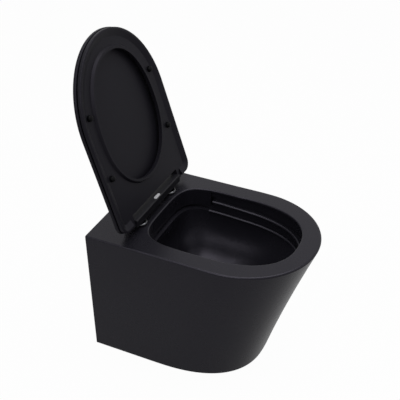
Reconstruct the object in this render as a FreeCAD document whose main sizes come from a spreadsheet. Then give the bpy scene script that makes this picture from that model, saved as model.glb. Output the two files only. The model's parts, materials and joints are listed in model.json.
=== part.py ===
"""A wall hung toilet: a skirted rimless pan with a quick release, slow closing seat and lid.

Frame, in millimetres: the wall is the plane y = 0 and the pan juts out towards -Y. X runs to
the right as seen from the front and Z is up. The origin lies on the wall, midway between the
two wall studs. The seat and the lid are drawn shut and then swung open about the hinge line.
"""
import FreeCAD, Part
import math
import os
import re

V = FreeCAD.Vector
doc = FreeCAD.newDocument("wall_hung_toilet")

# ---------------------------------------------------------------- driving dimensions

DRIVING = [
    # pan, outside
    ("rim_rise", 80, "rim above the wall studs"),
    ("pan_drop", 355, "rim down to the underside"),
    ("pan_width", 360, "width of the rim"),
    ("pan_length", 527, "wall to the front of the rim"),
    ("mid_length", 458, "wall to the front at the middle section"),
    ("mid_share", 0.535, "depth of the middle section, as a share of the drop"),
    ("foot_width", 343, "width of the underside"),
    ("foot_length", 406, "wall to the front of the underside"),
    ("nose_top", 196, "depth of the rounded front at the rim"),
    ("nose_mid", 215, "depth of the rounded front at the middle section"),
    ("nose_foot", 238, "depth of the rounded front at the underside"),
    ("skirt_wall", 10, "thickness of the skirt"),
    ("deck_wall", 14, "thickness of the deck"),
    ("edge_round", 4, "rounding of the outer edges of the pan"),
    # bowl
    ("bowl_width", 265, "width of the bowl opening"),
    ("bowl_back", 119, "wall to the back of the bowl opening"),
    ("bowl_front", 476, "wall to the front of the bowl opening"),
    ("bowl_widest", 287, "wall to the widest line of the opening"),
    ("bowl_wall", 10, "thickness of the bowl"),
    ("pool_drop", 203, "rim down to the water line"),
    ("bowl_curve", 2.6, "how late the bowl's walls turn in; 1 is a straight funnel"),
    ("pool_width", 90, "width of the water surface"),
    ("pool_back", 172, "wall to the back of the water surface"),
    ("pool_front", 336, "wall to the front of the water surface"),
    ("sump_drop", 318, "rim down to the bottom of the sump"),
    ("sump_width", 72, "width of the sump"),
    ("sump_back", 165, "wall to the back of the sump"),
    ("sump_front", 250, "wall to the front of the sump"),
    ("mouth_round", 3, "rounding of the bowl opening's edge"),
    ("lip_depth", 7, "rim down to the undercut of the side walls"),
    ("lip_reach", 5, "undercut of the side walls"),
    ("ledge_drop", 31, "rim down to the upper ledge at the hood's ends"),
    ("ledge_reach", 4, "upper ledge into the bowl"),
    ("shelf_drop", 58, "rim down to the lower ledge at the hood's ends"),
    ("shelf_reach", 9, "lower ledge into the bowl"),
    ("ledge_fall", 3.2, "fall of both ledges towards the front"),
    ("hood_drop", 48, "rim down to the underside of the flush hood"),
    ("hood_front", 190, "wall to the ends of the flush hood"),
    ("hood_wall", 5, "thickness of the flush hood"),
    ("duct_top", 22, "rim down to the flush duct behind the hood"),
    ("duct_wide", 8, "width of the flush duct"),
    ("duct_mouth", 12, "opening of the duct at each end of the hood"),
    # water ways
    ("inlet_rise", 35, "flush inlet above the studs"),
    ("inlet_bore", 55, "bore of the flush inlet"),
    ("inlet_length", 55, "depth of the flush inlet socket"),
    ("outlet_drop", 100, "waste outlet below the studs"),
    ("outlet_outer", 102, "outside of the waste spigot"),
    ("outlet_bore", 84, "bore of the waste spigot"),
    ("outlet_length", 45, "length of the waste spigot"),
    ("outlet_reach", 64, "wall to the end of the waste bore"),
    ("trap_bore", 68, "bore of the trapway"),
    ("trap_wall", 9, "thickness of the trapway and the inlet"),
    ("trap_dip", 25, "back of the sump to the bend under the trap's dip"),
    ("trap_crest", 88, "wall to the bend at the top of the trap"),
    ("trap_turn", 60, "bend radius of the trapway"),
    ("connector_room", 11, "room round the waste outlet for a connector"),
    ("access_half", 100, "half width of the opening under the pan"),
    ("access_reach", 110, "wall to the front of the opening under the pan"),
    ("set_back", 3, "inlet and outlet behind the wall face of the pan"),
    # wall fixing
    ("stud_spacing", 180, "between the two wall studs"),
    ("stud_hole", 12.6, "clearance hole for an M12 stud"),
    ("web_wall", 14, "thickness of the cross web that hangs on the studs"),
    ("web_drop", 45, "cross web below the studs"),
    ("sleeve_outer", 23.6, "barrel of the plastic stud sleeve"),
    ("washer_outer", 34, "stud washer and sleeve flange"),
    ("washer_thick", 2.5, "stud washer"),
    ("flange_thick", 3, "flange of the stud sleeve"),
    ("nut_flats", 19, "M12 nut across its flats"),
    ("nut_thick", 10, "M12 nut"),
    # hinge fixings on the deck
    ("hinge_spacing", 155, "between the two hinge fixings"),
    ("fixing_back", 98, "wall to the hinge fixing holes"),
    ("fixing_hole", 11, "hinge fixing hole in the deck"),
    ("bolt_shank", 6, "hinge bolt"),
    ("bolt_head", 10, "head of the hinge bolt"),
    ("bolt_grip", 46, "hinge bolt below the rim"),
    ("slot_play", 3, "adjustment of the hinge bases each way"),
    ("post_back", 85.5, "wall to the hinge posts"),
    ("post_outer", 8, "hinge post"),
    ("post_rise", 31, "top of the hinge posts above the rim"),
    ("cap_back", 97, "wall to the middle of the hinge caps"),
    ("cap_outer", 33, "hinge cap"),
    ("cap_rise", 8.5, "top of the hinge caps above the rim"),
    ("cap_wall", 1.4, "thickness of the hinge caps"),
    ("cap_edge", 1.2, "bevel round the top of the hinge caps"),
    ("base_thick", 2, "hinge base plate"),
    ("gasket_thick", 0.8, "gasket under a hinge base"),
    # hinge bar
    ("hinge_back", 88, "wall to the hinge line"),
    ("hinge_rise", 25, "hinge line above the rim"),
    ("open_angle", 108, "swing of the seat and the lid"),
    ("bar_half", 115, "half the length of the hinge bar"),
    ("bar_front", 21, "hinge line to the front of the bar"),
    ("bar_rear", 17, "hinge line to the back of the bar"),
    ("bar_up", 10, "hinge line to the top of the bar"),
    ("bar_down", 12, "hinge line to the underside of the bar"),
    ("bar_wall", 2.5, "thickness of the bar's walls"),
    ("bar_round", 3, "rounding of the bar's long edges"),
    ("bay_half", 86, "half the length of the bay in the middle of the bar"),
    ("damper_outer", 16, "slow closing damper"),
    ("shaft_outer", 8, "damper shaft"),
    ("shaft_tip", 6, "turned down tip of a damper shaft"),
    ("knuckle_outer", 20, "hinge knuckles"),
    ("knuckle_wide", 13.5, "width of one knuckle"),
    ("side_gap", 0.5, "gap beside each knuckle"),
    # release button and latches
    ("button_wide", 24, "release button, along the bar"),
    ("button_deep", 8, "release button, across the bar"),
    ("button_proud", 1.5, "release button above the bar"),
    ("button_ahead", 14.7, "hinge line to the middle of the button"),
    ("button_travel", 2.5, "press of the button and draw of each latch"),
    ("latch_thick", 2.5, "latch plate"),
    ("latch_wide", 10, "width of a latch plate"),
    ("latch_pin", 3, "pin that runs in the slider's slot"),
    ("latch_pin_out", 14, "middle of the bar to a latch pin"),
    ("spring_outer", 5, "button spring"),
    ("spring_wire", 0.7, "wire of the button spring"),
    # seat ring
    ("seat_width", 350, "width of the seat ring"),
    ("seat_reach", 440.3, "hinge line to the front of the seat ring"),
    ("seat_nose", 1.114, "depth of the rounded front of the seat and lid, as a share of the half width"),
    ("rear_reach", 5, "seat and lid behind the hinge line"),
    ("corner_round", 25, "rear corners of the seat and lid"),
    ("seat_top", 12.6, "hinge line down to the top of the shut seat ring"),
    ("seat_edge", 9.5, "thickness of the seat ring at its edge"),
    ("ring_skin", 3.6, "thickness of the seat ring over its hollow"),
    ("skin", 3, "thickness of the lid's skin"),
    ("ring_side", 53.2, "width of the seat ring at its sides"),
    ("ring_front", 50, "width of the seat ring at its front"),
    ("hole_back", 71.6, "hinge line to the back of the seat opening"),
    ("hole_widest", 219.5, "hinge line to the widest line of the seat opening"),
    ("notch_reach", 19.5, "hinge line to the edge of the notch for the bar"),
    ("bumper_outer", 16, "seat bumper"),
    ("bumper_gap", 0.3, "shut bumper above the rim"),
    ("bumper_inset", 33, "side of the seat ring to the seat bumpers"),
    ("bumper_near", 134, "hinge line to the rear seat bumpers"),
    ("bumper_far", 288, "hinge line to the front seat bumpers"),
    # lid
    ("lid_over", 1.8, "lid beyond the seat ring at its sides and front"),
    ("lid_top", 1.3, "hinge line down to the top of the shut lid"),
    ("lid_edge", 9, "thickness of the lid at its edge"),
    ("lid_notch", 24, "hinge line to the edge of the lid's notch"),
    ("pad_outer", 12, "lid bumper"),
    ("pad_inset", 57, "side of the lid to the lid bumpers"),
    ("pad_back", 102, "front of the lid to the lid bumpers"),
]

sheet = doc.addObject("Spreadsheet::Sheet", "Dims")
for row, (alias, value, meaning) in enumerate(DRIVING, start=1):
    sheet.set(f"A{row}", meaning)
    sheet.set(f"B{row}", str(value))
    sheet.setAlias(f"B{row}", alias)
doc.recompute()

ALIASES = {alias for alias, value, meaning in DRIVING}
SIDES = (("left", -1), ("right", 1))
ALONG_X = FreeCAD.Rotation(V(0, 1, 0), 90)
ALONG_Y = FreeCAD.Rotation(V(1, 0, 0), -90)
UPRIGHT = FreeCAD.Rotation()
OVER = 1.0              # how far a cutting tool runs past the face it cuts
NUDGE = 0.02            # keeps two tools from meeting in one plane
DIAGONAL = 0.7071068    # sine and cosine of 45 degrees

nodes = {}


def size(alias):
    """A driving dimension, in millimetres or degrees."""
    return float(sheet.get(alias))


def follow(rule):
    """An expression in which each dimension's word points at its cell."""
    return re.sub(r"[a-z_]+", lambda word: "Dims." + word[0] if word[0] in ALIASES else word[0], str(rule))


def primitive(kind, name, sizes, place, turn=UPRIGHT):
    """A Part primitive whose sizes and place are bound to the sheet."""
    piece = doc.addObject("Part::" + kind, name)
    piece.Placement = FreeCAD.Placement(V(0, 0, 0), turn)
    for prop, rule in sizes.items():
        piece.setExpression(prop, follow(rule))
    for axis, rule in zip("xyz", place):
        piece.setExpression("Placement.Base." + axis, follow(rule))
    return piece


def box(name, low, high):
    """A box between two corners, each coordinate an expression."""
    spans = [f"({b}) - ({a})" for a, b in zip(low, high)]
    return primitive("Box", name, dict(zip(("Length", "Width", "Height"), spans)), low)


def rod(name, radius, length, start, turn=UPRIGHT):
    """A cylinder from its start, along Z unless turned."""
    return primitive("Cylinder", name, {"Radius": radius, "Height": length}, start, turn)


def fuse(name, pieces):
    joined = doc.addObject("Part::MultiFuse", name)
    joined.Shapes = pieces
    joined.Refine = True
    return joined


def cut(name, base, tool):
    remaining = doc.addObject("Part::Cut", name)
    remaining.Base = base
    remaining.Tool = tool
    remaining.Refine = True
    return remaining


def drill(name, base, tools):
    """The base with all the tools cut out of it."""
    return cut(name, base, fuse(name + "_tools", tools) if len(tools) > 1 else tools[0])


def node(piece, label):
    """Names a finished sub-part."""
    piece.Label = label
    nodes[label] = piece
    return piece


def shaped(label, shape, placement=FreeCAD.Placement()):
    """A sub-part whose form is freer than the primitives."""
    piece = doc.addObject("Part::Feature", label + "_form")
    piece.Shape = shape
    piece.Placement = placement
    return node(piece, label)


# ---------------------------------------------------------------- outlines and lofts

def signed_power(value, power):
    return math.copysign(abs(value) ** power, value)


def nose_points(half_width, straight, nose, fullness, z):
    """Points round a front: an ellipse at fullness 2, squarer above it."""
    count = 17
    points = []
    for step in range(count):
        turn = math.pi * step / (count - 1)
        x = half_width * signed_power(math.cos(turn), 2 / fullness)
        y = straight - nose * math.sin(turn) ** (2 / fullness) if 0 < step < count - 1 else straight
        points.append(V(x, y, z))
    return points


def dee(half_width, back, front, nose, z, corner):
    """A D outline: straight back and sides, rounded rear corners and half an ellipse in front."""
    straight = front + nose
    left = V(-half_width, back - corner, z)
    right = V(half_width, back - corner, z)
    lean = corner * math.sqrt(0.5)
    inner = half_width - corner
    ellipse = Part.Ellipse(V(0, straight - nose, z), V(half_width, straight, z), V(0, straight, z))
    return Part.Wire([
        Part.makeLine(right, V(half_width, straight, z)),
        Part.Arc(ellipse, -math.pi / 2, math.pi / 2).toShape(),
        Part.makeLine(V(-half_width, straight, z), left),
        Part.Arc(left, V(-inner - lean, back - corner + lean, z), V(-inner, back, z)).toShape(),
        Part.makeLine(V(-inner, back, z), V(inner, back, z)),
        Part.Arc(V(inner, back, z), V(inner + lean, back - corner + lean, z), right).toShape(),
    ])


def oval(half_width, back, front, widest, z, rear_full, front_full, count=36):
    """A closed round outline, squarer or rounder behind and ahead of its widest line."""
    points = []
    for step in range(count):
        turn = 2 * math.pi * step / count
        ahead = math.sin(turn) < 0
        fullness = front_full if ahead else rear_full
        depth = widest - front if ahead else back - widest
        x = half_width * signed_power(math.cos(turn), 2 / fullness)
        y = widest + depth * signed_power(math.sin(turn), 2 / fullness)
        points.append(V(x, y, z))
    curve = Part.BSplineCurve()
    curve.interpolate(Points=points, PeriodicFlag=True)
    return Part.Wire([curve.toShape()])


def prism(outline, height):
    return Part.Face(outline).extrude(V(0, 0, height))


def block(low, high):
    return Part.makeBox(high[0] - low[0], high[1] - low[1], high[2] - low[2], V(*low))


def edges_at(shape, z, kept=lambda box: True):
    """The edges that lie level at height z and pass the test on their bounding box."""
    level = [edge for edge in shape.Edges
             if abs(edge.BoundBox.ZMin - z) < 0.01 and abs(edge.BoundBox.ZMax - z) < 0.01]
    return [edge for edge in level if kept(edge.BoundBox)]


# ---------------------------------------------------------------- the pan

RIM = size("rim_rise")
FOOT = RIM - size("pan_drop")
FAR = 2 * size("pan_length")    # beyond the pan on every side
BOWL_LEVELS = (0.45, 0.7, 0.87, 1.0)    # shares of the way to the water line with an outline of their own
MOUTH_REAR_FULL, MOUTH_FRONT_FULL = 4.5, 2.45   # how square the bowl's mouth is; 2 is an ellipse


def skirt_outline(half_width, back, front, nose, z, fullness):
    """The pan's outline: one smooth curve from the wall round the front, closed along the wall."""
    straight = front + nose
    side = [back + (straight - back) * step / 5 for step in range(5)]
    points = [V(half_width, y, z) for y in side]
    points += nose_points(half_width, straight, nose, fullness, z)
    points += [V(-half_width, y, z) for y in reversed(side)]
    curve = Part.BSplineCurve()
    curve.interpolate(Points=points, InitialTangent=V(0, -1, 0), FinalTangent=V(0, 1, 0))
    return Part.Wire([curve.toShape(), Part.makeLine(points[-1], points[0])])


def skirt_section(z, inset=0.0, back=0.0):
    """The pan's outline at a height, through its rim, middle and foot sections."""
    share = (RIM - z) / size("pan_drop")
    middle = size("mid_share")
    at_rim = (share - middle) * (share - 1) / middle
    at_middle = share * (share - 1) / (middle * (middle - 1))
    at_foot = share * (share - middle) / (1 - middle)
    length = at_rim * size("pan_length") + at_middle * size("mid_length") + at_foot * size("foot_length")
    nose = at_rim * size("nose_top") + at_middle * size("nose_mid") + at_foot * size("nose_foot")
    width = size("pan_width") + share * (size("foot_width") - size("pan_width"))
    fullness = 2.03 + 0.5 * share
    return skirt_outline(width / 2 - inset, back, inset - length, nose - inset, z, fullness)


def skirt_loft(top, bottom, inset=0.0, back=0.0, count=5):
    heights = [top + (bottom - top) * step / (count - 1) for step in range(count)]
    return Part.makeLoft([skirt_section(z, inset, back) for z in heights], True)


def bowl_section(drop, grown=0.0):
    """The bowl's outline at a depth: it narrows to the water line, then to the sump."""
    pool = size("pool_drop")
    if drop <= pool:
        share = (drop / pool) ** size("bowl_curve")    # steep above, turning in low down
        ends = ("bowl", "pool")
    else:
        share = (drop - pool) / (size("sump_drop") - pool)
        ends = ("pool", "sump")
    width, back, front = [size(ends[0] + part) + share * (size(ends[1] + part) - size(ends[0] + part))
                          for part in ("_width", "_back", "_front")]
    depth = min(drop / pool, 1)
    widest = size("bowl_widest") + depth * ((back + front) / 2 - size("bowl_widest"))
    return oval(width / 2 + grown, grown - back, -front - grown, -widest, RIM - drop,
                MOUTH_REAR_FULL - 2 * depth, MOUTH_FRONT_FULL - 0.25 * depth)


def deep_bowl(grown=0.0, first=(), last=0.0):
    """The outlines of the bowl from below its ledges to the sump, grown for the outside of its wall."""
    pool, sump = size("pool_drop"), size("sump_drop")
    drops = [*first, *[level * pool for level in BOWL_LEVELS], (pool + sump) / 2, sump + last]
    return [bowl_section(drop, grown) for drop in drops]


def mouth(drop, side, front):
    """The outline of the bowl's opening at a depth, grown at its sides and its front."""
    return oval(size("bowl_width") / 2 + side, side - size("bowl_back"), -size("bowl_front") - front,
                -size("bowl_widest"), RIM - drop, MOUTH_REAR_FULL, MOUTH_FRONT_FULL)


def band(side, front, top, bottom):
    """A slab of the bowl's opening, grown, between two depths."""
    return prism(mouth(bottom, side, front), bottom - top)


def above_ledge(drop):
    """All that lies over a plane that is at the given depth by the hood and falls towards the front."""
    plane = Part.makeBox(2 * FAR, 2 * FAR, FAR, V(-FAR, -FAR, 0))
    plane.rotate(V(0, 0, 0), V(1, 0, 0), size("ledge_fall"))
    plane.translate(V(0, -size("hood_front"), RIM - drop))
    return plane


def slice_along(back, front):
    """A block over the whole pan between two distances from the wall."""
    return block((-FAR, -front, -FAR), (FAR, -back, FAR))


def bowl_cuts():
    """The bowl and its waterway: a hood over the duct at the back, then two ledges towards the front."""
    ledge, shelf, hood = size("ledge_drop"), size("shelf_drop"), size("hood_drop")
    duct_end = size("hood_front") + size("duct_mouth")
    duct_out = size("hood_wall") + size("duct_wide")
    low = shelf + size("pan_length") * math.tan(math.radians(size("ledge_fall")))
    top = [mouth(drop, -size("shelf_reach"), -size("ledge_reach")) for drop in (-OVER, ledge, shelf)]
    over_ledge = above_ledge(ledge)
    lip = size("lip_reach")
    rear = slice_along(-OVER, size("hood_front"))
    front = slice_along(size("hood_front"), size("pan_length"))
    return [
        Part.makeLoft(top + deep_bowl(), True),
        band(-size("ledge_reach"), -size("ledge_reach") / 2, -OVER, low).common(above_ledge(shelf)),
        band(0, 0, -OVER, low).common(over_ledge),
        band(lip, lip, size("lip_depth"), low).common(over_ledge).common(front),
        band(0, 0, -OVER, hood).common(rear),
        band(size("duct_wide"), 0, hood, low).common(above_ledge(shelf)).common(rear),
        band(duct_out, 0, size("duct_top"), hood).cut(band(size("hood_wall"), 0, 0, shelf)).common(
            slice_along(-OVER, duct_end)),
        band(duct_out, 0, size("duct_top"), hood + size("hood_wall") / 2).common(
            slice_along(size("hood_front"), duct_end)),
    ]


def trap_path():
    """The trapway's middle line: back under the dip, up to the weir and out to the wall."""
    level = RIM - size("sump_drop") + size("trap_bore") / 2
    weir = RIM - size("pool_drop") + size("trap_bore") / 2
    middle = (size("sump_back") + size("sump_front")) / 2
    bends = [V(0, size("trap_dip") - size("sump_back"), level), V(0, -size("trap_crest"), weir)]
    ends = [V(0, -middle, level), V(0, -size("outlet_length"), weir)]
    route = [ends[0], *bends, ends[1]]
    edges = []
    start = route[0]
    for before, bend, after in zip(route, route[1:], route[2:]):
        back = (before - bend).normalize()
        on = (after - bend).normalize()
        half_turn = (math.pi - back.getAngle(on)) / 2
        setback = size("trap_turn") * math.tan(half_turn)
        bisector = (back + on).normalize()
        middle_point = bend + bisector * (size("trap_turn") / math.cos(half_turn) - size("trap_turn"))
        edges.append(Part.makeLine(start, bend + back * setback))
        edges.append(Part.Arc(bend + back * setback, middle_point, bend + on * setback).toShape())
        start = bend + on * setback
    edges.append(Part.makeLine(start, route[-1]))
    return Part.Wire(edges)


def trap_tube(radius):
    path = trap_path()
    start = path.Vertexes[0].Point
    ring = Part.Wire([Part.makeCircle(radius, start, V(0, 1, 0))])
    return path.makePipeShell([ring], True, True)


def along_wall(radius, x, z, start, end):
    """A cylinder square to the wall, from depth start to depth end below the wall face."""
    return Part.makeCylinder(radius, end - start, V(x, -end, z), V(0, 1, 0))


def pan_form():
    outer = skirt_loft(RIM, FOOT)
    rounded = [edge for level in (RIM, FOOT)
               for edge in edges_at(outer, level, lambda box: box.YMin < -OVER)]
    outer = outer.makeFillet(size("edge_round"), rounded)

    outlet = -size("outlet_drop")
    inlet = size("inlet_rise")
    bore = size("trap_bore") / 2
    waste = size("outlet_bore") / 2
    spigot = size("outlet_outer") / 2
    wide = size("pan_width")
    set_back = size("set_back")
    half_stud = size("stud_spacing") / 2
    bowl_wall = size("bowl_wall")
    shelf = size("shelf_drop")
    overlap = 6     # shared by the parts of the bowl's wall
    deck = size("deck_wall")
    duct_out = size("hood_wall") + size("duct_wide")
    access = size("access_half")
    fixing_deep = size("bolt_grip") + 14

    hollow = skirt_loft(RIM - deck, FOOT + size("skirt_wall"), size("skirt_wall"), 5)
    connector_room = along_wall(spigot + size("connector_room"), 0, outlet, -OVER, size("outlet_length"))
    web = block((-wide, -size("web_wall"), -size("web_drop")), (wide, 0, RIM - deck + OVER))
    solids = [
        Part.makeLoft(deep_bowl(bowl_wall, [shelf - overlap], bowl_wall), True),
        band(duct_out + deck, deck, deck - OVER, shelf + overlap),
        band(bowl_wall - 2, bowl_wall - 2, shelf, 1.5 * shelf),
        trap_tube(bore + size("trap_wall")),
        along_wall(spigot, 0, outlet, set_back, size("outlet_length")),
        along_wall(spigot - 2, 0, outlet, size("outlet_length") - OVER, size("trap_crest") - 10),
        along_wall(size("inlet_bore") / 2 + size("trap_wall"), 0, inlet, set_back, size("trap_crest") + 12),
        web.cut(connector_room),
    ]
    body = outer.cut(hollow).fuse([solid.common(outer) for solid in solids])

    cuts = bowl_cuts()
    cuts += [
        trap_tube(bore),
        along_wall(waste, 0, outlet, -OVER, size("outlet_reach")),
        along_wall(size("inlet_bore") / 2, 0, inlet, -OVER, size("inlet_length")),
        along_wall(size("inlet_bore") / 2 - 6, 0, inlet, 0, size("bowl_back") - size("hood_wall") - 2),
        block((-access, -size("access_reach"), FOOT - OVER),
              (access, -size("web_wall"), FOOT + size("skirt_wall") + OVER)),
    ]
    for side, sign in SIDES:
        cuts.append(along_wall(size("sleeve_outer") / 2 + 0.2, sign * half_stud, 0, -OVER, set_back + 20))
        fixing = V(sign * size("hinge_spacing") / 2, -size("fixing_back"), RIM - fixing_deep)
        cuts.append(Part.makeCylinder(size("fixing_hole") / 2, fixing_deep + OVER, fixing))
    for tool in cuts:
        body = body.cut(tool)
    body = body.removeSplitter()
    inside = lambda box: box.YMax < OVER - size("bowl_back") and box.YMin > -size("bowl_front") - OVER
    return body.makeFillet(size("mouth_round"), edges_at(body, RIM, inside))


shaped("pan", pan_form())

# ---------------------------------------------------------------- wall fixing

for side, sign in SIDES:
    stud_x = f"{sign} * stud_spacing / 2"
    barrel = rod(f"sleeve_barrel_{side}", "sleeve_outer / 2", "web_wall - 0.5",
                 (stud_x, "-web_wall", "0"), ALONG_Y)
    flange = rod(f"sleeve_flange_{side}", "washer_outer / 2", "flange_thick",
                 (stud_x, "-web_wall - flange_thick", "0"), ALONG_Y)
    hole = rod(f"sleeve_hole_{side}", "stud_hole / 2", "web_wall + flange_thick + 2",
               (stud_x, "-web_wall - flange_thick - 1", "0"), ALONG_Y)
    node(cut(f"sleeve_{side}", fuse(f"sleeve_solid_{side}", [barrel, flange]), hole), f"stud_sleeve_{side}")

    washer_y = "-web_wall - flange_thick - washer_thick"
    washer = rod(f"washer_disc_{side}", "washer_outer / 2", "washer_thick", (stud_x, washer_y, "0"), ALONG_Y)
    washer_hole = rod(f"washer_hole_{side}", "stud_hole / 2", "washer_thick + 2",
                      (stud_x, washer_y + " - 1", "0"), ALONG_Y)
    node(cut(f"washer_{side}", washer, washer_hole), f"stud_washer_{side}")

    nut_y = washer_y + " - nut_thick"
    hexagon = primitive("Prism", f"nut_hexagon_{side}",
                        {"Circumradius": "nut_flats / sqrt(3)", "Height": "nut_thick"},
                        (stud_x, nut_y, "0"), ALONG_Y)
    hexagon.Polygon = 6
    nut_hole = rod(f"nut_hole_{side}", "stud_hole / 2", "nut_thick + 2",
                   (stud_x, nut_y + " - 1", "0"), ALONG_Y)
    node(cut(f"nut_{side}", hexagon, nut_hole), f"stud_nut_{side}")

# ---------------------------------------------------------------- hinge fixings on the deck

LIFT = 0.05     # running gap between the deck and what is adjusted on it


def slot(name, x, low, high):
    """A slot along Y for the hinge bolt, as long as the adjustment."""
    radius = "bolt_shank / 2 + 0.2"
    middle = box(name + "_middle", (f"{x} - bolt_shank / 2 - 0.2", "-fixing_back - slot_play - 0.4", low),
                 (f"{x} + bolt_shank / 2 + 0.2", "-fixing_back + slot_play + 0.4", high))
    ends = [rod(f"{name}_{end}", radius, f"({high}) - ({low})",
                (x, f"-fixing_back {way} (slot_play + 0.4)", low))
            for end, way in (("front", "-"), ("rear", "+"))]
    return fuse(name, [middle, *ends])


for side, sign in SIDES:
    fix_x = f"{sign} * hinge_spacing / 2"
    plate_low = f"rim_rise + {LIFT} + gasket_thick"
    plate_top = plate_low + " + base_thick"

    plug = rod(f"plug_sleeve_{side}", "fixing_hole / 2 - 0.1", "bolt_grip - 7",
               (fix_x, "-fixing_back", "rim_rise - bolt_grip + 6.5"))
    plug_hole = rod(f"plug_hole_{side}", "bolt_shank / 2 + 0.1", "bolt_grip",
                    (fix_x, "-fixing_back", "rim_rise - bolt_grip + 2"))
    node(cut(f"plug_{side}", plug, plug_hole), f"hinge_plug_{side}")

    cone = primitive("Cone", f"nut_cone_{side}",
                     {"Radius1": "fixing_hole / 2 - 0.2", "Radius2": "fixing_hole / 2 - 1", "Height": "6"},
                     (fix_x, "-fixing_back", "rim_rise - bolt_grip + 0.4"))
    cone_hole = rod(f"nut_bore_{side}", "bolt_shank / 2 + 0.05", "bolt_grip",
                    (fix_x, "-fixing_back", "rim_rise - bolt_grip - 2"))
    node(cut(f"cone_nut_{side}", cone, cone_hole), f"hinge_nut_{side}")

    shank = rod(f"bolt_shank_{side}", "bolt_shank / 2",
                f"bolt_grip + {LIFT} + gasket_thick + base_thick + 0.1",
                (fix_x, "-fixing_back", "rim_rise - bolt_grip"))
    head = rod(f"bolt_head_{side}", "bolt_head / 2", "2.6", (fix_x, "-fixing_back", plate_top + " + 0.05"))
    socket = primitive("Prism", f"bolt_socket_{side}", {"Circumradius": "bolt_shank / 3", "Height": "3"},
                       (fix_x, "-fixing_back", plate_top + " + 1.2"))
    node(cut(f"bolt_{side}", fuse(f"bolt_solid_{side}", [shank, head]), socket), f"hinge_bolt_{side}")

    gasket = rod(f"gasket_disc_{side}", "cap_outer / 2 - cap_wall - 0.4", "gasket_thick",
                 (fix_x, "-cap_back", f"rim_rise + {LIFT}"))
    gasket_slot = slot(f"gasket_slot_{side}", fix_x, "rim_rise - 1", plate_low + " + 1")
    node(cut(f"gasket_{side}", gasket, gasket_slot), f"hinge_gasket_{side}")

    plate = rod(f"base_disc_{side}", "cap_outer / 2 - cap_wall - 0.3", "base_thick",
                (fix_x, "-cap_back", plate_low))
    rivet_hole = rod(f"base_rivet_hole_{side}", "post_outer / 2 - 1", "base_thick + 2",
                     (fix_x, "-post_back", plate_low + " - 1"))
    base_slot = slot(f"base_slot_{side}", fix_x, plate_low + " - 1", plate_top + " + 1")
    node(drill(f"base_{side}", plate, [base_slot, rivet_hole]), f"hinge_base_{side}")

    post = rod(f"post_shaft_{side}", "post_outer / 2", "post_rise - gasket_thick - base_thick - 1.05",
               (fix_x, "-post_back", plate_top))
    rivet = rod(f"post_rivet_{side}", "post_outer / 2 - 1", "base_thick", (fix_x, "-post_back", plate_low))
    point = primitive("Cone", f"post_point_{side}",
                      {"Radius1": "post_outer / 2", "Radius2": "post_outer / 2 - 1", "Height": "1"},
                      (fix_x, "-post_back", "rim_rise + post_rise - 1"))
    node(fuse(f"post_{side}", [post, rivet, point]), f"hinge_post_{side}")

    dome = primitive("Cone", f"cap_dome_{side}",
                     {"Radius1": "cap_outer / 2", "Radius2": "cap_outer / 2 - cap_edge",
                      "Height": "cap_edge"},
                     (fix_x, "-cap_back", "rim_rise + cap_rise - cap_edge"))
    side_wall = rod(f"cap_side_{side}", "cap_outer / 2", "cap_rise - cap_edge - 0.2",
                    (fix_x, "-cap_back", "rim_rise + 0.2"))
    room = rod(f"cap_room_{side}", "cap_outer / 2 - cap_wall", "cap_rise - cap_wall + 1",
               (fix_x, "-cap_back", "rim_rise - 1"))
    passage = rod(f"cap_hole_{side}", "post_outer / 2 + 0.1", "cap_rise + 2",
                  (fix_x, "-post_back", "rim_rise"))
    cap = fuse(f"cap_solid_{side}", [dome, side_wall])
    node(drill(f"cap_{side}", cap, [room, passage]), f"hinge_cap_{side}")

# ---------------------------------------------------------------- hinge bar and dampers

AXIS_Y = "(-hinge_back)"
AXIS_Z = "(rim_rise + hinge_rise)"


def rounded_bar(name, front, rear, low, high):
    """A bar along X with its four long edges rounded."""
    parts = [box(name + "_deep", ("-bar_half", front, f"{low} + bar_round"),
                 ("bar_half", rear, f"{high} - bar_round")),
             box(name + "_tall", ("-bar_half", f"{front} + bar_round", low),
                 ("bar_half", f"{rear} - bar_round", high))]
    for row, y in (("front", f"{front} + bar_round"), ("rear", f"{rear} - bar_round")):
        for level, z in (("low", f"{low} + bar_round"), ("high", f"{high} - bar_round")):
            parts.append(rod(f"{name}_{row}_{level}", "bar_round", "2 * bar_half",
                             ("-bar_half", y, z), ALONG_X))
    return fuse(name, parts)


bar_front = f"{AXIS_Y} - bar_front"
bar_rear = f"{AXIS_Y} + bar_rear"
bar_low = f"{AXIS_Z} - bar_down"
bar_high = f"{AXIS_Z} + bar_up"
button_y = f"{AXIS_Y} - button_ahead"

stadium_x = "button_wide / 2 - button_deep / 2"


def stadium(name, grow, low, high):
    """An upright stadium, the shape of the release button."""
    radius = f"button_deep / 2 + {grow}"
    middle = box(name + "_middle", (f"-({stadium_x})", f"{button_y} - ({radius})", low),
                 (stadium_x, f"{button_y} + {radius}", high))
    ends = [rod(f"{name}_{side}", radius, f"({high}) - ({low})", (f"{sign} * ({stadium_x})", button_y, low))
            for side, sign in SIDES]
    return fuse(name, [middle, *ends])


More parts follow.
